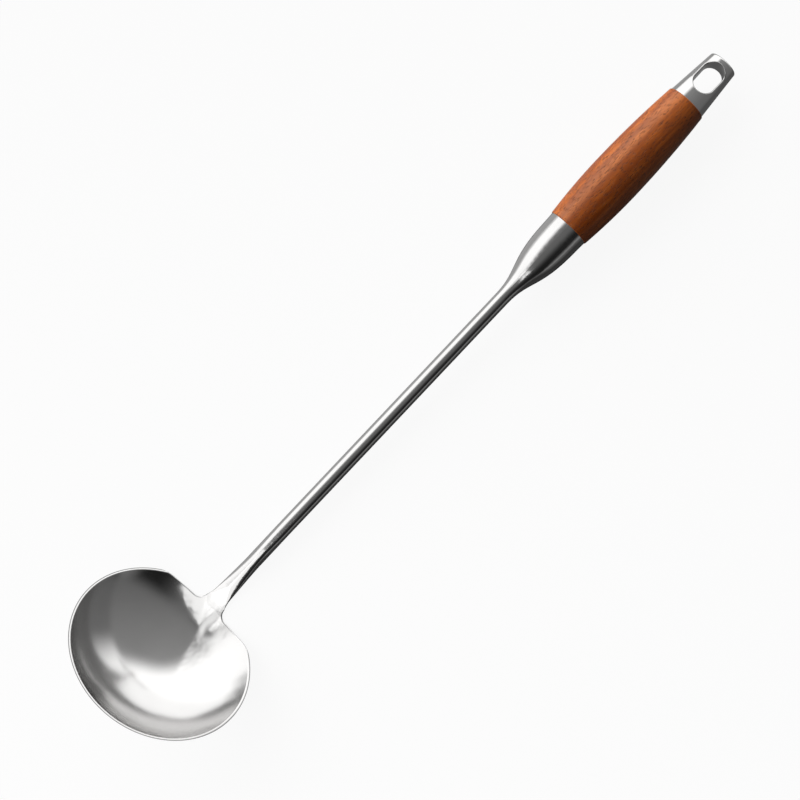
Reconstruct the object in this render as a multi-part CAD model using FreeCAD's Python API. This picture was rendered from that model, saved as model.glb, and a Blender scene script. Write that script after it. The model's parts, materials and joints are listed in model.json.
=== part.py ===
import FreeCAD, Part
import math
import os

# A long wok ladle: pressed steel bowl, tubular shank with a flared ferrule, wooden grip and steel end cap.
# The pieces are modelled along the shank, whose axis is X, with the bowl's lowest point at X = 0.
# The finished ladle is then laid on its back as it comes to rest, with +X towards the end cap.
# Lengths are in millimetres and angles in degrees.

# Bowl
bowl_diameter = 100.0
bowl_depth = 25.0
bowl_sheet = 1.0
bowl_lift = 5.63          # angle at which the bowl's wall still rises over the shank at the rim
shoulder_setback = 6.6    # from the full circle back to the straight rim beside the neck
shoulder_round = 14.0     # corner between the round rim and the straight rim
neck_fillet = 5.0         # corner between the straight rim and the neck
rim_round = 0.5           # rounding of the rim's upper edge

# Neck, forged in one piece with the bowl
neck_length = 50.0
neck_spread = 1.2         # how far the neck spreads past the tube on each side
neck_spread_length = 27.0
neck_spread_power = 1.25  # how early that spread dies away
root_spread = 1.1         # how much further it spreads at its root
root_length = 5.0
root_power = 2.0
waist_drop = 3.7          # how far the neck's widest line drops from the tube's axis to the bowl
underside_fullness = 1.0  # how square the underside is at the bowl, added to a round section's 2
neck_overlap = 3.0        # how far the neck reaches into the bowl's sheet
neck_burial = 0.4         # how far it lies inside that sheet below and at the sides
neck_burial_length = 10.0 # along which the underside comes out of the sheet
neck_stations = 22
section_steps = 12

# Facet pressed into the top of the neck
facet_slope = 12.0
facet_runout = 9.0        # along which the facet bends over into the tube's top
facet_fullness = 5.0      # how square its shoulders are at the bowl, added to a round section's 2
facet_square_length = 9.0 # along which the shoulders become round
dish_length = 16.0        # along which the bowl's hollow dies away in the facet
facet_allowance = 0.08    # left above the bowl's inner surface, which then trims the facet

# Joint between neck and tube
spigot_length = 12.0
spigot_clearance = 0.05

# Shank tube and the ferrule that is swaged on its end
shank_diameter = 8.2
shank_wall = 1.0
shank_reach = 221.5       # from the bowl's rim to the start of the flare
ferrule_length = 51.0
ferrule_mouth = 23.4
ferrule_wall = 1.2
plug_shoulder = 0.6       # step inside the ferrule that the plug is pressed against

# Outline of the flare, as shares of its length and of its growth in radius
flare_lead = 0.37
flare_shoulder = 0.35
flare_swell = 1.14
flare_run = 0.815
flare_waist = 0.92

# Wooden grip
grip_length = 91.0
grip_front_diameter = 24.2
grip_belly_diameter = 28.2
grip_belly_place = 37.0   # from the ferrule to the thickest point
grip_back_diameter = 23.0
grip_edge_round = 0.6

# Parts hidden in the grip
plug_thickness = 6.0
plug_clearance = 0.05
rod_diameter = 6.0
rod_thread_clearance = 0.05
rod_bore_clearance = 0.2
rod_end_gap = 1.0         # left between the rod's end and the bottom of its socket

# End cap
cap_length = 29.4
cap_front_diameter = 21.9
cap_back_diameter = 16.6
cap_dome = 0.8
cap_end_round = 1.2
cap_socket_depth = 6.0
slot_length = 18.5
slot_width = 11.9
slot_start = 7.0          # from the cap's front face to the slot
slot_edge_round = 0.6

# Tolerance for finding edges by their place, and halvings of the search for the shoulder
tolerance = 0.01
search_steps = 60

# Derived sizes
bowl_radius = bowl_diameter / 2
shank_radius = shank_diameter / 2
shank_bore_radius = shank_radius - shank_wall
ball_radius = (bowl_radius ** 2 + bowl_depth ** 2) / (2 * bowl_depth)
plug_seat_radius = ferrule_mouth / 2 - ferrule_wall
rod_thread_radius = rod_diameter / 2 + rod_thread_clearance
wall_angle = math.asin(bowl_radius / ball_radius)
lift = math.radians(bowl_lift)
rake = wall_angle - lift  # between the rim plane and the shank
slope = math.radians(facet_slope)
ball_centre = FreeCAD.Vector(0, 0, ball_radius - shank_radius)
opening_normal = FreeCAD.Vector(math.sin(rake), 0, math.cos(rake))
rim_centre = ball_centre - opening_normal * (ball_radius - bowl_depth)
rim_x = ball_radius * math.sin(lift)
shoulder_x = rim_x - shoulder_setback
root_x = shoulder_x + neck_fillet

# Stations along the shank
neck_end_x = rim_x + neck_length
flare_x = rim_x + shank_reach
mouth_x = flare_x + ferrule_length
belly_x = mouth_x + grip_belly_place
cap_x = mouth_x + grip_length
end_x = cap_x + cap_length
slot_x = cap_x + slot_start + slot_length / 2


def at(x, radius):
    """A point of a turned piece's half section."""
    return FreeCAD.Vector(x, 0, radius)


def line(start, end):
    return Part.LineSegment(start, end).toShape()


def arc(start, middle, end):
    return Part.Arc(start, middle, end).toShape()


def smooth_edge(points):
    """Smooth curve through a few points."""
    curve = Part.BSplineCurve()
    curve.interpolate(points)
    return curve.toShape()


def turned(edges):
    """Solid of revolution about the shank from the edges of its half section."""
    face = Part.Face(Part.Wire(Part.__sortEdges__(edges)))
    return face.revolve(FreeCAD.Vector(0, 0, 0), FreeCAD.Vector(1, 0, 0), 360)


def rod_along(radius, start_x, stop_x):
    """Cylinder on the shank's axis."""
    return Part.makeCylinder(radius, stop_x - start_x, FreeCAD.Vector(start_x, 0, 0), FreeCAD.Vector(1, 0, 0))


def ring_edges(shape, x):
    """Round edges that lie in one plane across the shank."""
    boxes = [(edge, edge.BoundBox) for edge in shape.Edges]
    return [edge for edge, box in boxes if abs(box.XMin - x) < tolerance and box.XLength < tolerance]


def shoulder_corner():
    """Place on the rim where the round rim gives way to the shoulder corner, as an angle from the neck."""
    across = bowl_radius * math.cos(rake)
    low, high = 0.0, math.pi / 2
    for _ in range(search_steps):
        angle = (low + high) / 2
        normal = FreeCAD.Vector(bowl_radius * math.cos(angle), across * math.sin(angle), 0).normalize()
        reach = rim_centre.x + across * math.cos(angle) - shoulder_round * normal.x + shoulder_round
        if reach > shoulder_x:
            low = angle
        else:
            high = angle
    return angle


def bowl_outline():
    """Outline of the bowl seen square to the shank: straight shoulders, filleted into the neck."""
    across = bowl_radius * math.cos(rake)
    angle = shoulder_corner()
    normal = FreeCAD.Vector(bowl_radius * math.cos(angle), across * math.sin(angle), 0).normalize()
    along_rim = FreeCAD.Vector(-normal.y, normal.x, 0)
    rim_point = FreeCAD.Vector(rim_centre.x + across * math.cos(angle), bowl_radius * math.sin(angle), 0)
    corner_centre = rim_point - normal * shoulder_round
    halfway = (normal + FreeCAD.Vector(1, 0, 0)).normalize()
    corner_middle = corner_centre + halfway * shoulder_round
    corner_end = corner_centre + FreeCAD.Vector(shoulder_round, 0, 0)

    fillet_centre = FreeCAD.Vector(root_x, neck_half_width(root_x) + neck_fillet, 0)
    fillet_start = fillet_centre - FreeCAD.Vector(neck_fillet, 0, 0)
    fillet_end = fillet_centre - FreeCAD.Vector(0, neck_fillet, 0)
    fillet_middle = fillet_centre - FreeCAD.Vector(1, 1, 0).normalize() * neck_fillet

    outside = rim_point + along_rim * bowl_diameter
    behind = FreeCAD.Vector(rim_centre.x - bowl_diameter, outside.y, 0)
    half = [
        line(fillet_end, FreeCAD.Vector(fillet_end.x, 0, 0)).reversed(),
        arc(fillet_end, fillet_middle, fillet_start),
        line(fillet_start, corner_end),
        arc(corner_end, corner_middle, rim_point),
        line(rim_point, outside),
        line(outside, behind),
        line(behind, FreeCAD.Vector(behind.x, 0, 0)),
    ]
    other_half = [edge.mirror(FreeCAD.Vector(0, 0, 0), FreeCAD.Vector(0, 1, 0)) for edge in half]
    return Part.Wire(Part.__sortEdges__(half + other_half))


def fading(x, length, power=1.0, start_x=rim_x):
    """Falls from 1 at a starting place, by default the rim, to 0 at a length along the neck."""
    return max(0.0, 1 - max(0.0, x - start_x) / length) ** power


def neck_half_width(x):
    """Half width of the neck as seen from above."""
    spread = neck_spread * fading(x, neck_spread_length, neck_spread_power)
    return shank_radius + spread + root_spread * fading(x, root_length, root_power, root_x)


def facet_height(x):
    """Height of the facet: it follows the bowl's inside, rises along its slope and ends in the tube's top."""
    start_radius = ball_radius - bowl_sheet - facet_allowance
    touch = start_radius * math.sin(slope)
    if x < touch:
        return ball_centre.z - math.sqrt(start_radius ** 2 - x ** 2)
    rising = ball_centre.z - start_radius * math.cos(slope) + (x - touch) * math.tan(slope)
    crossing = x + (shank_radius - rising) / math.tan(slope)
    left = crossing + facet_runout / 2 - x
    if left > facet_runout:
        return rising
    return shank_radius - math.tan(slope) * max(0.0, left) ** 2 / (2 * facet_runout)


def superellipse(share, fullness):
    """Height of a rounded arch of unit width and height, from round at 0 to ever squarer."""
    power = 2 + fullness
    return max(0.0, 1 - abs(share) ** power) ** (1 / power)


def neck_section(x):
    """Closed section of the neck: the facet with its round shoulders, above a rounded underside."""
    half = neck_half_width(x) - neck_burial * max(0.0, root_x - x) / neck_overlap
    depth = shank_radius - neck_burial * fading(x, neck_burial_length, 1.0, root_x)
    left = fading(x, neck_length)
    squareness = facet_fullness * fading(x, facet_square_length, 2.0)
    hollow = fading(x, dish_length) / (2 * ball_radius)
    top = facet_height(x)
    waist = max(-waist_drop * left, neck_burial - depth)
    upper = []
    under = []
    for i in range(section_steps + 1):
        share = math.cos(math.pi * i / section_steps)
        y = half * share
        dish = hollow * y ** 2
        rise = superellipse(share, squareness)
        drop = superellipse(share, underside_fullness * left)
        upper.append(FreeCAD.Vector(x, y, waist + (top - waist) * rise + dish))
        under.append(FreeCAD.Vector(x, y, waist - (depth + waist) * drop + dish))
    return Part.Wire([smooth_edge(upper), smooth_edge(list(reversed(under)))])


def neck():
    """Forged neck that leads from the bowl's wall to the round tube."""
    start_x = root_x - neck_overlap
    pitch = (neck_end_x - start_x) / neck_stations
    return Part.makeLoft([neck_section(start_x + pitch * i) for i in range(neck_stations + 1)], True, False)


def bowl_cap():
    """Solid slice of the ball below the rim, trimmed to the bowl's outline."""
    ball = Part.makeSphere(ball_radius, ball_centre)
    below_rim = Part.makeCylinder(2 * bowl_diameter, 2 * bowl_diameter, rim_centre, opening_normal * -1)
    outline = bowl_outline()
    outline.translate(FreeCAD.Vector(0, 0, -bowl_diameter))
    trimmed = Part.Face(outline).extrude(FreeCAD.Vector(0, 0, 3 * bowl_diameter))
    return ball.common(below_rim).common(trimmed)


def rim_edges(sheet):
    """Edges round the sheet's upper side, without the one that the neck covers."""
    balls = [face for face in sheet.Faces if isinstance(face.Surface, Part.Sphere)]
    upper = min(balls, key=lambda face: face.Surface.Radius)
    edges = [edge for edge in upper.Edges if not edge.Degenerated and not edge.isSeam(upper)]
    return [edge for edge in edges if edge.CenterOfMass.x < root_x - tolerance]


def ladle_bowl():
    """Pressed bowl with its forged neck and the spigot that enters the tube."""
    inside = Part.makeSphere(ball_radius - bowl_sheet, ball_centre)
    sheet = bowl_cap().cut(inside)
    sheet = sheet.makeFillet(rim_round, rim_edges(sheet))
    spigot_radius = shank_bore_radius - spigot_clearance
    spigot = rod_along(spigot_radius, neck_end_x, neck_end_x + spigot_length)
    return sheet.fuse(neck().cut(inside)).fuse(spigot)


def flare_curve(start_radius, mouth_radius, stop_x):
    """Outline of the swaged flare, from the tube's radius to the mouth's."""
    length = stop_x - flare_x
    growth = mouth_radius - start_radius
    curve = Part.BezierCurve()
    curve.setPoles([
        at(flare_x, start_radius),
        at(flare_x + flare_lead * length, start_radius),
        at(flare_x + flare_shoulder * length, start_radius + flare_swell * growth),
        at(flare_x + flare_run * length, start_radius + flare_waist * growth),
        at(stop_x, mouth_radius),
    ])
    return curve.toShape()


def shank():
    """Tube that is flared into a ferrule, with a seat for the plug inside the mouth."""
    seat_x = mouth_x - plug_thickness
    inner_radius = plug_seat_radius - plug_shoulder
    return turned([
        line(at(neck_end_x, shank_bore_radius), at(neck_end_x, shank_radius)),
        line(at(neck_end_x, shank_radius), at(flare_x, shank_radius)),
        flare_curve(shank_radius, ferrule_mouth / 2, mouth_x),
        line(at(mouth_x, ferrule_mouth / 2), at(mouth_x, plug_seat_radius)),
        line(at(mouth_x, plug_seat_radius), at(seat_x, plug_seat_radius)),
        line(at(seat_x, plug_seat_radius), at(seat_x, inner_radius)),
        flare_curve(shank_bore_radius, inner_radius, seat_x),
        line(at(flare_x, shank_bore_radius), at(neck_end_x, shank_bore_radius)),
    ])


def ferrule_plug():
    """Disc that closes the ferrule's mouth and holds the rod."""
    disc = rod_along(plug_seat_radius - plug_clearance, mouth_x - plug_thickness, mouth_x)
    return disc.cut(rod_along(rod_thread_radius, mouth_x - plug_thickness, mouth_x))


def tie_rod():
    """Rod that draws the end cap, the grip and the ferrule together."""
    return rod_along(rod_diameter / 2, mouth_x - plug_thickness, cap_x + cap_socket_depth - rod_end_gap)


def barrel_radius(far_x, far_radius):
    """Radius of the grip's long outline between its thickest point and one end."""
    drop = grip_belly_diameter / 2 - far_radius
    return ((far_x - belly_x) ** 2 + drop ** 2) / (2 * drop)


def barrel_arc(far_x, far_radius):
    """Large arc from the grip's thickest point, where it is level, to one end."""
    belly_radius = grip_belly_diameter / 2
    radius = barrel_radius(far_x, far_radius)
    half_turn = math.asin((far_x - belly_x) / radius) / 2
    middle = at(belly_x + radius * math.sin(half_turn), belly_radius - radius * (1 - math.cos(half_turn)))
    return arc(at(belly_x, belly_radius), middle, at(far_x, far_radius))


def wooden_grip():
    """Barrel-shaped grip, bored for the rod."""
    front_radius = grip_front_diameter / 2
    back_radius = grip_back_diameter / 2
    bore_radius = rod_diameter / 2 + rod_bore_clearance
    barrel = turned([
        line(at(mouth_x, 0), at(mouth_x, front_radius)),
        barrel_arc(mouth_x, front_radius),
        barrel_arc(cap_x, back_radius),
        line(at(cap_x, back_radius), at(cap_x, 0)),
        line(at(cap_x, 0), at(mouth_x, 0)),
    ])
    ends = ring_edges(barrel, mouth_x) + ring_edges(barrel, cap_x)
    return barrel.makeFillet(grip_edge_round, ends).cut(rod_along(bore_radius, mouth_x, cap_x))


def slot_cutter():
    """Through slot with round ends, square to the shank."""
    straight = slot_length - slot_width
    block = Part.makeBox(straight, slot_width, 2 * cap_front_diameter)
    block.translate(FreeCAD.Vector(slot_x - straight / 2, -slot_width / 2, -cap_front_diameter))
    for end_shift in (-straight / 2, straight / 2):
        foot = FreeCAD.Vector(slot_x + end_shift, 0, -cap_front_diameter)
        block = block.fuse(Part.makeCylinder(slot_width / 2, 2 * cap_front_diameter, foot))
    return block.removeSplitter()


def slot_edges(shape):
    """Edges where the slot breaks out of the cap's outside."""
    low = slot_x - slot_length / 2 - tolerance
    high = slot_x + slot_length / 2 + tolerance
    found = []
    for edge in shape.Edges:
        box = edge.BoundBox
        if box.XMin > low and box.XMax < high and box.ZLength < slot_width / 2:
            found.append(edge)
    return found


def end_cap():
    """Turned cone with a domed end, a hanging slot and a threaded socket for the rod."""
    front_radius = cap_front_diameter / 2
    back_radius = cap_back_diameter / 2
    rim_place = end_x - cap_dome
    dome_radius = (back_radius ** 2 + cap_dome ** 2) / (2 * cap_dome)
    half_turn = math.asin(back_radius / dome_radius) / 2
    dome_middle = at(end_x - dome_radius * (1 - math.cos(half_turn)), dome_radius * math.sin(half_turn))
    cone = turned([
        line(at(cap_x, 0), at(cap_x, front_radius)),
        line(at(cap_x, front_radius), at(rim_place, back_radius)),
        arc(at(rim_place, back_radius), dome_middle, at(end_x, 0)),
        line(at(end_x, 0), at(cap_x, 0)),
    ])
    cone = cone.makeFillet(cap_end_round, ring_edges(cone, rim_place))
    slotted = cone.cut(slot_cutter())
    slotted = slotted.makeFillet(slot_edge_round, slot_edges(slotted))
    return slotted.cut(rod_along(rod_thread_radius, cap_x, cap_x + cap_socket_depth))


def rest_tilt():
    """Angle by which the shank rises towards the grip when bowl and grip both touch the table."""
    barrel = barrel_radius(mouth_x, grip_front_diameter / 2)
    along = belly_x
    up = barrel - grip_belly_diameter / 2 - ball_centre.z
    reach = barrel - ball_radius
    return math.atan2(along, up) - math.acos(reach / math.hypot(along, up))


def laid_down(shapes):
    """The pieces lying on the table, centred over the origin."""
    for shape in shapes.values():
        shape.rotate(FreeCAD.Vector(0, 0, 0), FreeCAD.Vector(0, 1, 0), -math.degrees(rest_tilt()))
    box = Part.Compound(list(shapes.values())).optimalBoundingBox(False)
    shift = FreeCAD.Vector(-(box.XMin + box.XMax) / 2, -(box.YMin + box.YMax) / 2, -box.ZMin)
    for shape in shapes.values():
        shape.translate(shift)
    return shapes


def single(shape):
    """The one solid of a boolean result."""
    return shape.Solids[0]


pieces = {
    "ladle_bowl": single(ladle_bowl()),
    "shank": single(shank()),
    "ferrule_plug": single(ferrule_plug()),
    "tie_rod": single(tie_rod()),
    "wooden_grip": single(wooden_grip()),
    "end_cap": single(end_cap()),
}
os.makedirs("parts", exist_ok=True)
for name, shape in laid_down(pieces).items():
    shape.exportStep("parts/" + name + ".step")
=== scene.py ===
"""Looks of a long wok ladle: satin steel bowl, shank and cap, and an oiled wooden grip.

The ladle lies on a white table, in a soft studio whose light is written by direction.
"""

import json
import math

import bpy
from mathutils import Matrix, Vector

bl_info = {
    "name": "Wok Ladle",
    "version": (1, 0, 0),
    "blender": (4, 5, 0),
    "location": "3D View > Sidebar > Ladle",
    "description": "Finishes a steel wok ladle with a wooden grip",
    "category": "Object",
}

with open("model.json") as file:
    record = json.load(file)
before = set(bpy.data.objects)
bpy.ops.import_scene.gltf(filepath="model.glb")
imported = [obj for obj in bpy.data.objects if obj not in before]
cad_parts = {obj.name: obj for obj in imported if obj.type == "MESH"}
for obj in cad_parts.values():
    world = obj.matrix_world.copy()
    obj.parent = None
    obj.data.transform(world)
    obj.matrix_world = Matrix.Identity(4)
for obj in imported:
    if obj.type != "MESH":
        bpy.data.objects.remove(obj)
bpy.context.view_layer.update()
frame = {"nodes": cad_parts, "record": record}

# The shank's axis, from the hanging slot that stands square to it
slot_mount = next(m for m in frame["record"]["mounts"] if m["name"] == "hanging_slot")
slot_place = Vector(slot_mount["pos_m"])
slot_axis = Vector(slot_mount["axis"]).normalized()
shank_axis = Vector((slot_axis.z, 0.0, -slot_axis.x))
side_axis = Vector((0.0, 1.0, 0.0))

# The bowl is part of a ball. Its axis, from the ball's centre down through the bowl's bottom,
# leans this much from the slot's towards the tip
BALL_CENTRE = Vector((-0.169112, 0.0, 0.0625))
BOWL_LEAN = math.radians(47.5)
bowl_axis = -shank_axis * math.sin(BOWL_LEAN) - slot_axis * math.cos(BOWL_LEAN)

BOWL_NODE = "ladle_bowl"
SHANK_NODES = ("shank", "end_cap")
HIDDEN_NODES = ("ferrule_plug", "tie_rod")
GRIP_NODE = "wooden_grip"

BLACK = (0.0, 0.0, 0.0, 1.0)
WHITE = (1.0, 1.0, 1.0, 1.0)

# Below, lengths are in metres and grains are patches per metre. A pair of numbers that isn't a
# place, a size, a heading or a grain is where a fade is still 0 and where it is 1

# Painted shade on the outer half of the bowl's rim, darkening its colour: from the ball's centre,
# outwards and along the bowl's axis
RIM_OUTWARD = (0.06195, 0.06225)
RIM_DOWN = (0.0390, 0.0383)
RIM_PAINTED_SHADE = 0.72

# Fan, fold and dent that the neck's press left in the bowl: along the shank from the slot,
# and across it
FAN_ROOT = -0.3790
FAN_REACH = 0.0185
FAN_RISE = 0.012
FAN_SLOPE = 0.10
FAN_CREASE = 0.0012
FAN_SHORT_SIDE = (-0.002, -0.008)
FAN_SHORTER = 0.003
MARK_GRAIN = 90
MARK_WANDER = 0.004
FOLD_PLACE = (-0.3985, -0.0022)
FOLD_HEADING = (0.40, 0.92)
FOLD_CREASE = 0.002
FOLD_LEVELLING = 120
FOLD_SLOPE = 0.22
FOLD_END = (FOLD_PLACE[0] - 0.034, FOLD_PLACE[0] - 0.008)
DENT_PLACE = (-0.3934, -0.0105)
DENT_RADIUS = 0.006
DENT_DEPTH = 0.00015
WAVE_GRAIN = 45
WAVE_HEIGHT = 0.00012
NECK_ALONG = (FAN_ROOT - 0.006, FAN_ROOT - 0.002)
NECK_ACROSS = (0.022, 0.016)

# Steel: polishing lines and faint clouds
LINE_GRAIN = 2600
LONG_LINES = 60
SHORT_LINES = 300
LINE_ROUGHNESS = 0.08
CLOUD_GRAIN = 60
CLOUD_ROUGHNESS = 0.07
STEEL_SHADE = 0.94
CLOUD_SHADE = 0.12
MACHINED_ROUGHNESS = 0.38
MACHINED_DEPTH = 2

# Wood: grains along the grip and across it, and how far the bands sway
SWAY_GRAIN = (14, 40)
BAND_GRAIN = (9, 320)
FIBRE_GRAIN = (60, 2400)
PORE_GRAIN = (380, 2500)
FIGURE_GRAIN = (60, 150)
BAND_SWAY = 0.009375
BAND_EDGE = (0.32, 0.68)
FIGURE_EDGE = (0.40, 0.62)
PORE_EDGE = (0.58, 0.66)
FIGURE_SHADE = 0.6
FIBRE_SHADE = 0.9
FIBRE_SHADE_LEAST = 0.22
PORE_SHADE = 0.75
FIBRE_HEIGHT = 0.15
WOOD_ROUGHNESS = 0.36
PORE_ROUGHNESS = 0.25
FIBRE_ROUGHNESS = 0.12
OIL_SPECULAR = 0.8
OIL_TINT = (1.0, 0.74, 0.54, 1.0)

# Studio light by direction: X towards the cap, Y towards the bright wall, Z up
WALL_FACING = (-0.109, 0.588, -0.801)
WALL_EDGE = (-0.48, -0.14)
WALL_SIDE = (-0.4, 0.0)
WALL_END = (-0.75, -0.5)
WALL_WIDER_ACROSS = 0.12
WALL_ACROSS = (0.3, 0.1)
WALL_WIDER_BACK = 0.15
BACK_MOST = 0.3
WALL_DIM_LOW = 0.6
WALL_LOW = (0.25, 0.1)
ROOM_LEVEL = 0.266
ROOM_AHEAD = 0.15
ROOM_SIDE = 0.12
ACROSS = (0.30, 0.05)
FLAG_LEAST = 0.25
FLAG_DEEPER = 0.65
FLAG_SIDE = (-0.25, -0.82)
FLAG_FOOT = (0.05, 0.2)
SKIRTING_SIDE = (-0.93, -1.0)
SKIRTING_ABOVE = 0.2
SKIRTING_BELOW = 0.1
GROUND_LEVEL = 0.26
GROUND_SIDE = 0.12
GROUND_LIT = 1.35
GROUND_LIT_EDGE = (-0.25, 0.32)
GROUND_TURN = 0.5
GROUND_DIM_ACROSS = 0.68
GROUND_ACROSS = (0.30, 0.20)
GROUND_DIM_STEEP = 0.7
GROUND_STEEP = (-0.75, -0.95)
HORIZON = (-0.08, 0.06)
MATT_CUT = 0.92
MATT_WALL = 0.7
MATT_WALL_SIDE = 2.5
MATT_SIDE = (0.4, 0.95)

# Table: greys that light it, the share of plain white that the camera sees, and the patch
# near the cap that steel mirrors, by place
TABLE_REACH = 6.0
TABLE_GREY = (0.16, 0.16, 0.16, 1.0)
TABLE_PALE = (0.86, 0.86, 0.86, 1.0)
TABLE_WHITENESS = 0.92
PATCH_START = (0.13, 0.17)
PATCH_END = (0.34, 0.28)
PATCH_ACROSS = (0.12, 0.08)
PATCH_EDGE = (0.0, 0.012)
PATCH_DIM = 0.12
PATCH_PALE = 0.48

# Soft box above the bowl, beyond its tip
LAMP_PLACE = (-0.495, -0.055, 0.5)
LAMP_SIZE = (0.52, 0.43)

SENSOR_WIDTH = 36.0


class Wire:
    """A node socket that can be used in Python expressions."""

    def __init__(self, paint, socket):
        self.paint = paint
        self.socket = socket

    def math(self, operation, *others):
        values = dict(enumerate((self, *others)))
        return self.paint.node("ShaderNodeMath", {"operation": operation}, values)

    def reflected(self, operation, other):
        return self.paint.node("ShaderNodeMath", {"operation": operation}, {0: other, 1: self})

    def __add__(self, other):
        return self.math("ADD", other)

    __radd__ = __add__

    def __sub__(self, other):
        return self.math("SUBTRACT", other)

    def __rsub__(self, other):
        return self.reflected("SUBTRACT", other)

    def __mul__(self, other):
        return self.math("MULTIPLY", other)

    __rmul__ = __mul__

    def __truediv__(self, other):
        return self.math("DIVIDE", other)

    def __rtruediv__(self, other):
        return self.reflected("DIVIDE", other)

    def __pow__(self, other):
        return self.math("POWER", other)

    def __rpow__(self, other):
        return self.reflected("POWER", other)

    def __neg__(self):
        return self * -1

    def __abs__(self):
        return self.math("ABSOLUTE")

    def step(self, none, full):
        """0 up to none and 1 from full on, with a smooth rise between; none may be the larger."""
        if none > full:
            return 1 - self.step(full, none)
        settings = {"interpolation_type": "SMOOTHSTEP"}
        values = {"Value": self, "From Min": none, "From Max": full}
        return self.paint.node("ShaderNodeMapRange", settings, values)


class Paint:
    """Adds nodes to one material or world."""

    def __init__(self, owner):
        owner.use_nodes = True
        self.tree = owner.node_tree
        self.tree.nodes.clear()

    def node(self, kind, settings=None, values=None, output=0):
        """A node of any type: settings first, then the values or links of its sockets."""
        made = self.tree.nodes.new(kind)
        for name, value in (settings or {}).items():
            setattr(made, name, value)
        for name, value in (values or {}).items():
            socket = made.inputs[name]
            if isinstance(value, Wire):
                self.tree.links.new(value.socket, socket)
            else:
                socket.default_value = value
        return Wire(self, made.outputs[output]) if made.outputs else None

    def vector_math(self, operation, *vectors, output="Vector"):
        values = dict(enumerate(vectors))
        return self.node("ShaderNodeVectorMath", {"operation": operation}, values, output)

    def dot(self, vector, direction):
        return self.vector_math("DOT_PRODUCT", vector, tuple(direction), output="Value")

    def from_point(self, point):
        """Vector from a point of the frame to the place that is painted."""
        place = self.node("ShaderNodeTexCoord", output="Object")
        return self.vector_math("SUBTRACT", place, tuple(point))

    def shank_place(self):
        """Distances along the shank from the slot, across it, and square to both."""
        offset = self.from_point(slot_place)
        return [self.dot(offset, axis) for axis in (shank_axis, side_axis, slot_axis)]

    def grain(self, place, lengthwise, crosswise, detail, roughness=0.5):
        """Noise with so many patches per metre along the shank and across it."""
        along, across, up = place
        scaled = {0: along * lengthwise, 1: across * crosswise, 2: up * crosswise}
        return self.node("ShaderNodeTexNoise", None, {
            "Vector": self.node("ShaderNodeCombineXYZ", None, scaled),
            "Scale": 1.0,
            "Detail": detail,
            "Roughness": roughness,
        })

    def mix(self, factor, first, second):
        """Mix of two colours."""
        values = {0: factor, 6: first, 7: second}
        return self.node("ShaderNodeMix", {"data_type": "RGBA"}, values, output=2)

    def bump(self, height, distance, normal=None):
        values = {"Height": height, "Distance": distance}
        if normal:
            values["Normal"] = normal
        return self.node("ShaderNodeBump", None, values)

    def ray(self, kind):
        """1 for a ray of this kind, such as Camera, and 0 for any other."""
        return self.node("ShaderNodeLightPath", output=f"Is {kind} Ray")

    def diffuse(self, shade):
        return self.node("ShaderNodeBsdfDiffuse", None, {"Color": shade})

    def emission(self, strength):
        return self.node("ShaderNodeEmission", None, {"Color": WHITE, "Strength": strength})

    def mix_shaders(self, factor, first, second):
        return self.node("ShaderNodeMixShader", None, {0: factor, 1: first, 2: second})

    def surface(self, shader):
        self.node("ShaderNodeOutputMaterial", None, {"Surface": shader})


def colour(values):
    """A setting's colour with full alpha."""
    return (*values[:3], 1.0)


class SteelFinish(bpy.types.PropertyGroup):
    """Finish of the steel pieces."""

    tint: bpy.props.FloatVectorProperty(
        name="Tint", description="Colour of the bare steel", subtype="COLOR", size=3,
        default=(0.60, 0.595, 0.59), min=0.0, max=1.0)
    bowl_roughness: bpy.props.FloatProperty(
        name="Bowl roughness", description="How satin the bowl is",
        default=0.16, min=0.0, max=1.0)
    shank_roughness: bpy.props.FloatProperty(
        name="Shank roughness", description="How satin the shank and the cap are",
        default=0.15, min=0.0, max=1.0)
    scratch_depth: bpy.props.FloatProperty(
        name="Scratch depth", description="Depth of the polishing lines",
        default=0.000004, min=0.0, precision=6, unit="LENGTH")


class WoodFinish(bpy.types.PropertyGroup):
    """Finish of the wooden grip."""

    light: bpy.props.FloatVectorProperty(
        name="Light grain", description="Colour of the pale bands", subtype="COLOR", size=3,
        default=(0.58, 0.145, 0.017), min=0.0, max=1.0)
    dark: bpy.props.FloatVectorProperty(
        name="Dark grain", description="Colour of the dark bands", subtype="COLOR", size=3,
        default=(0.30, 0.056, 0.005), min=0.0, max=1.0)
    pore: bpy.props.FloatVectorProperty(
        name="Pores", description="Colour of the pores", subtype="COLOR", size=3,
        default=(0.05, 0.009, 0.003), min=0.0, max=1.0)
    pore_depth: bpy.props.FloatProperty(
        name="Pore depth", description="Depth of the open pores",
        default=0.00006, min=0.0, precision=6, unit="LENGTH")


class StudioSettings(bpy.types.PropertyGroup):
    """Table, light and camera."""

    camera_place: bpy.props.FloatVectorProperty(
        name="Camera place", description="Where the camera stands", size=3, unit="LENGTH",
        default=(-0.02899, -0.07542, 0.96485))
    camera_turn: bpy.props.FloatVectorProperty(
        name="Camera turn", description="The camera's angles about X, Y and Z",
        size=3, unit="ROTATION",
        default=(math.radians(3.748), math.radians(2.851), math.radians(-46.42)))
    focal_length: bpy.props.FloatProperty(
        name="Focal length", description="Lens in mm, on a 36 mm wide sensor",
        default=81.0, min=1.0)
    wall_strength: bpy.props.FloatProperty(
        name="Wall strength", description="Brightness of the white wall", default=1.5, min=0.0)
    lamp_strength: bpy.props.FloatProperty(
        name="Lamp strength", description="Brightness of the soft box over the bowl",
        default=1.4, min=0.0)


def give(material, nodes):
    """Put a finish on CAD nodes."""
    for name in nodes:
        frame["nodes"][name].data.materials[0] = material


def softly_above(value, width):
    """The value where it is above zero and nothing below, with a rounded corner."""
    return (value + (value ** 2 + width ** 2) ** 0.5) * 0.5


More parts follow.
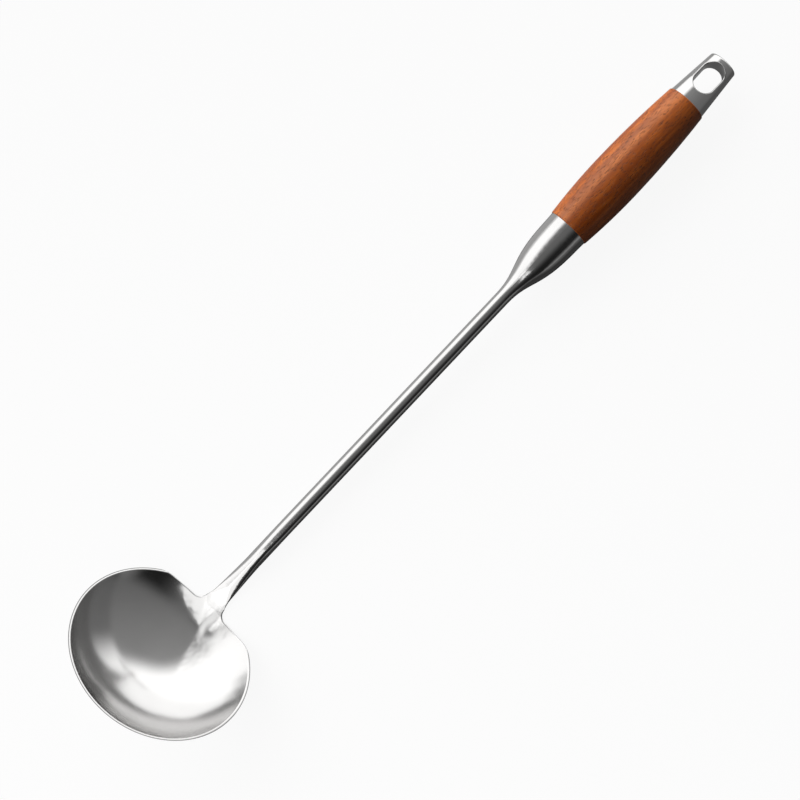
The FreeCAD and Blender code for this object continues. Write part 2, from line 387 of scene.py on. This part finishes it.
def pressed_marks(paint, place):
    """Height of the marks that the neck's press left inside the bowl, in metres."""
    along, across, _ = place
    wander = (paint.grain(place, MARK_GRAIN, MARK_GRAIN, 2.0) - 0.5) * MARK_WANDER

    inward = (FAN_ROOT - along).math("MAXIMUM", 0.0)
    reach = (inward ** 2 + across ** 2) ** 0.5 + wander
    reach = reach - FAN_SHORTER * across.step(*FAN_SHORT_SIDE)
    rise = softly_above(FAN_REACH - reach, FAN_CREASE).math("MINIMUM", FAN_RISE)
    fan = rise * FAN_SLOPE

    fold_along = (along - FOLD_PLACE[0]) * FOLD_HEADING[0]
    fold_across = (across - FOLD_PLACE[1]) * FOLD_HEADING[1]
    past = softly_above(fold_along - fold_across + wander, FOLD_CREASE)
    fold = past / (1 + past * FOLD_LEVELLING) * FOLD_SLOPE * along.step(*FOLD_END)

    away = ((along - DENT_PLACE[0]) ** 2 + (across - DENT_PLACE[1]) ** 2) ** 0.5
    dent = away.step(DENT_RADIUS, 0.0) * DENT_DEPTH
    wave = (paint.grain(place, WAVE_GRAIN, WAVE_GRAIN, 1.0) - 0.5) * WAVE_HEIGHT
    return fan + fold - dent + wave


def rim_painted_shade(paint, place):
    """The outer half of the bowl's rim, where shade is painted into the steel's colour."""
    along, across, _ = place
    offset = paint.from_point(BALL_CENTRE)
    outward = paint.vector_math("LENGTH", offset, output="Value")
    down = paint.dot(offset, bowl_axis)
    neck = along.step(*NECK_ALONG) * abs(across).step(*NECK_ACROSS)
    return outward.step(*RIM_OUTWARD) * down.step(*RIM_DOWN) * (1 - neck)


def make_steel(name, finish, roughness, lengthwise, depth, marks_and_rim_shade=False):
    """Satin steel: fine polishing lines and faint clouds, and for the bowl its pressed marks and
    painted shade on the rim's outer half.
    """
    material = bpy.data.materials.new(name)
    paint = Paint(material)
    place = paint.shank_place()
    lines = paint.grain(place, lengthwise, LINE_GRAIN, 2.0)
    clouds = paint.grain(place, CLOUD_GRAIN, CLOUD_GRAIN, 3.0)
    shade = STEEL_SHADE + (clouds - 0.5) * CLOUD_SHADE
    normal = paint.bump(lines, depth)
    if marks_and_rim_shade:
        # Painted shade: the colour is darkened on the rim's outer half
        shade = shade * (1 - RIM_PAINTED_SHADE * rim_painted_shade(paint, place))
        normal = paint.bump(pressed_marks(paint, place), 1.0, normal)
    uneven = (lines - 0.5) * LINE_ROUGHNESS + (clouds - 0.5) * CLOUD_ROUGHNESS
    paint.surface(paint.node("ShaderNodeBsdfPrincipled", None, {
        "Base Color": paint.mix(shade, BLACK, colour(finish.tint)),
        "Metallic": 1.0,
        "Roughness": roughness + uneven,
        "Normal": normal,
    }))
    return material


def make_wood(finish):
    """Oiled red-brown wood: bands along the grip, fine fibres and short open pores."""
    material = bpy.data.materials.new("oiled_wood")
    paint = Paint(material)
    place = paint.shank_place()
    along, across, up = place
    sway = (paint.grain(place, *SWAY_GRAIN, 2.0) - 0.5) * BAND_SWAY
    bands = paint.grain((along, across + sway, up + sway), *BAND_GRAIN, 3.0)
    fibres = paint.grain(place, *FIBRE_GRAIN, 3.0)
    pores = paint.grain(place, *PORE_GRAIN, 2.0, 0.4).step(*PORE_EDGE)
    figure = paint.grain(place, *FIGURE_GRAIN, 2.0).step(*FIGURE_EDGE)

    dark = colour(finish.dark)
    body = paint.mix(bands.step(*BAND_EDGE), dark, colour(finish.light))
    body = paint.mix(figure * FIGURE_SHADE, body, dark)
    body = paint.mix((fibres - 0.5) * FIBRE_SHADE + FIBRE_SHADE_LEAST, body, dark)
    body = paint.mix(pores * PORE_SHADE, body, colour(finish.pore))
    rough = WOOD_ROUGHNESS + pores * PORE_ROUGHNESS + (fibres - 0.5) * FIBRE_ROUGHNESS
    paint.surface(paint.node("ShaderNodeBsdfPrincipled", None, {
        "Base Color": body,
        "Roughness": rough,
        "Specular IOR Level": OIL_SPECULAR,
        "Specular Tint": OIL_TINT,
        "Normal": paint.bump(fibres * FIBRE_HEIGHT - pores, finish.pore_depth),
    }))
    return material


class LADLE_OT_steel(bpy.types.Operator):
    """Give the bowl, the shank and the end cap their satin steel"""

    bl_idname = "ladle.steel"
    bl_label = "Finish Steel"

    def execute(self, context):
        finish = context.scene.ladle_steel
        depth = finish.scratch_depth
        # The bowl gets its pressed marks and the painted shade on its rim
        bowl = make_steel(
            "bowl_steel", finish, finish.bowl_roughness, SHORT_LINES, depth, marks_and_rim_shade=True)
        shank = make_steel("shank_steel", finish, finish.shank_roughness, LONG_LINES, depth)
        give(bowl, (BOWL_NODE,))
        give(shank, SHANK_NODES)
        return {"FINISHED"}


class LADLE_OT_hidden(bpy.types.Operator):
    """Give the plug and the rod inside the grip a plain machined steel"""

    bl_idname = "ladle.hidden"
    bl_label = "Finish Hidden Steel"

    def execute(self, context):
        finish = context.scene.ladle_steel
        depth = finish.scratch_depth * MACHINED_DEPTH
        machined = make_steel("machined_steel", finish, MACHINED_ROUGHNESS, LINE_GRAIN, depth)
        give(machined, HIDDEN_NODES)
        return {"FINISHED"}


class LADLE_OT_grip(bpy.types.Operator):
    """Give the grip its oiled wood"""

    bl_idname = "ladle.grip"
    bl_label = "Finish Grip"

    def execute(self, context):
        give(make_wood(context.scene.ladle_wood), (GRIP_NODE,))
        return {"FINISHED"}


def make_world(studio):
    """Soft studio light by direction: a bright wall on one side, a dark flag and a dim room."""
    world = bpy.data.worlds.new("studio")
    paint = Paint(world)
    direction = paint.node("ShaderNodeTexCoord", output="Generated")
    x, y, z = (paint.dot(direction, axis) for axis in ((1, 0, 0), (0, 1, 0), (0, 0, 1)))
    ahead = x.math("MAXIMUM", 0.0)
    back = (-x).math("MAXIMUM", 0.0).math("MINIMUM", BACK_MOST)
    across = x.step(*ACROSS)

    # Bright wall: all directions past a slanting plane, fading towards the room's far end
    wider = WALL_WIDER_ACROSS * x.step(*WALL_ACROSS) + WALL_WIDER_BACK * back
    slant = paint.dot(direction, WALL_FACING) + wider
    wall = slant.step(*WALL_EDGE) * y.step(*WALL_SIDE) * x.step(*WALL_END)
    wall = wall * studio.wall_strength

    # Dim room with a black flag square to the shank, and a grey skirting under the flag
    room = ROOM_LEVEL + ROOM_AHEAD * ahead + ROOM_SIDE * y
    flag = across * (FLAG_LEAST + FLAG_DEEPER * y.step(*FLAG_SIDE)) * z.step(*FLAG_FOOT)
    skirting = across * y.step(*SKIRTING_SIDE)
    room = room * (1 - flag) + SKIRTING_ABOVE * skirting
    above = room + wall * (1 - WALL_DIM_LOW * across * z.step(*WALL_LOW))

    # Below the horizon: the lit table, greyer square to the shank and straight down
    toward = y + ahead * GROUND_TURN
    below = GROUND_LEVEL + GROUND_SIDE * toward + GROUND_LIT * toward.step(*GROUND_LIT_EDGE)
    below = below * (1 - GROUND_DIM_ACROSS * x.step(*GROUND_ACROSS))
    below = below * (1 - GROUND_DIM_STEEP * z.step(*GROUND_STEEP)) + SKIRTING_BELOW * skirting
    light = below + (above - below) * z.step(*HORIZON)

    # Matt surfaces get the wall's light with more contrast than the polished ones mirror
    matt = paint.ray("Diffuse")
    matt_wall = wall * matt * (MATT_WALL + MATT_WALL_SIDE * y.step(*MATT_SIDE))
    light = light * (1 - matt * MATT_CUT) + matt_wall

    # The camera sees plain white
    camera = paint.ray("Camera")
    strength = light * (1 - camera) + camera
    background = paint.node("ShaderNodeBackground", None, {"Color": WHITE, "Strength": strength})
    paint.node("ShaderNodeOutputWorld", None, {"Surface": background})
    return world


def make_table_material():
    """White table that keeps the ladle's shadow.

    Polished steel sees through it to the studio's light, except for a grey patch near the cap,
    and it is clear from below.
    """
    material = bpy.data.materials.new("white_table")
    paint = Paint(material)
    camera = paint.ray("Camera")
    matt = paint.mix_shaders(camera, paint.diffuse(TABLE_GREY), paint.diffuse(TABLE_PALE))
    whiteness = (camera + paint.ray("Transmission")) * TABLE_WHITENESS
    lit = paint.mix_shaders(whiteness, matt, paint.emission(1.0))

    place = paint.node("ShaderNodeTexCoord", output="Object")
    ahead = paint.dot(place, (1, 0, 0))
    aside = paint.dot(place, (0, 1, 0))
    near_cap = ahead.step(*PATCH_START) * ahead.step(*PATCH_END) * abs(aside).step(*PATCH_ACROSS)
    patch = paint.mix_shaders(
        aside.step(*PATCH_EDGE), paint.emission(PATCH_DIM), paint.emission(PATCH_PALE))
    clear = paint.node("ShaderNodeBsdfTransparent")
    mirrored = paint.mix_shaders(near_cap, clear, patch)

    top = paint.mix_shaders(paint.ray("Glossy"), lit, mirrored)
    underside = paint.node("ShaderNodeNewGeometry", output="Backfacing")
    paint.surface(paint.mix_shaders(underside, top, clear))
    return material


class LADLE_OT_stage(bpy.types.Operator):
    """Set up the white table, the studio light and the camera"""

    bl_idname = "ladle.stage"
    bl_label = "Set Stage"

    def execute(self, context):
        scene = context.scene
        studio = scene.ladle_studio
        mesh = bpy.data.meshes.new("table")
        signs = ((-1, -1), (1, -1), (1, 1), (-1, 1))
        corners = [(x * TABLE_REACH, y * TABLE_REACH, 0) for x, y in signs]
        mesh.from_pydata(corners, [], [(0, 1, 2, 3)])
        table = bpy.data.objects.new("table", mesh)
        table.data.materials.append(make_table_material())
        scene.collection.objects.link(table)

        scene.world = make_world(studio)

        soft_box = bpy.data.lights.new("bowl_lamp", "AREA")
        soft_box.shape = "RECTANGLE"
        soft_box.size, soft_box.size_y = LAMP_SIZE
        soft_box.energy = studio.lamp_strength * math.pi * LAMP_SIZE[0] * LAMP_SIZE[1]
        lamp = bpy.data.objects.new("bowl_lamp", soft_box)
        lamp.location = LAMP_PLACE
        lamp.visible_camera = False
        scene.collection.objects.link(lamp)

        lens = bpy.data.cameras.new("camera")
        lens.lens = studio.focal_length
        lens.sensor_width = SENSOR_WIDTH
        camera = bpy.data.objects.new("camera", lens)
        camera.location = studio.camera_place
        camera.rotation_euler = studio.camera_turn
        scene.collection.objects.link(camera)
        scene.camera = camera
        scene.view_settings.view_transform = "Standard"
        return {"FINISHED"}


class LADLE_PT_panel(bpy.types.Panel):
    """Sidebar panel with the ladle's steps and settings"""

    bl_label = "Wok Ladle"
    bl_idname = "LADLE_PT_panel"
    bl_space_type = "VIEW_3D"
    bl_region_type = "UI"
    bl_category = "Ladle"

    def draw(self, context):
        for operator in OPERATORS:
            self.layout.operator(operator.bl_idname)
        for group in SETTINGS:
            box = self.layout.box()
            for name in getattr(context.scene, group).__annotations__:
                box.prop(getattr(context.scene, group), name)


OPERATORS = (LADLE_OT_steel, LADLE_OT_hidden, LADLE_OT_grip, LADLE_OT_stage)
SETTINGS = {"ladle_steel": SteelFinish, "ladle_wood": WoodFinish, "ladle_studio": StudioSettings}


def register():
    for item in (*SETTINGS.values(), *OPERATORS, LADLE_PT_panel):
        bpy.utils.register_class(item)
    for name, group in SETTINGS.items():
        setattr(bpy.types.Scene, name, bpy.props.PointerProperty(type=group))


def unregister():
    for name in SETTINGS:
        delattr(bpy.types.Scene, name)
    for item in (LADLE_PT_panel, *reversed(OPERATORS), *reversed(SETTINGS.values())):
        bpy.utils.unregister_class(item)


def main():
    register()
    for operator in OPERATORS:
        group, action = operator.bl_idname.split(".")
        getattr(getattr(bpy.ops, group), action)()


if __name__ == "__main__":
    main()
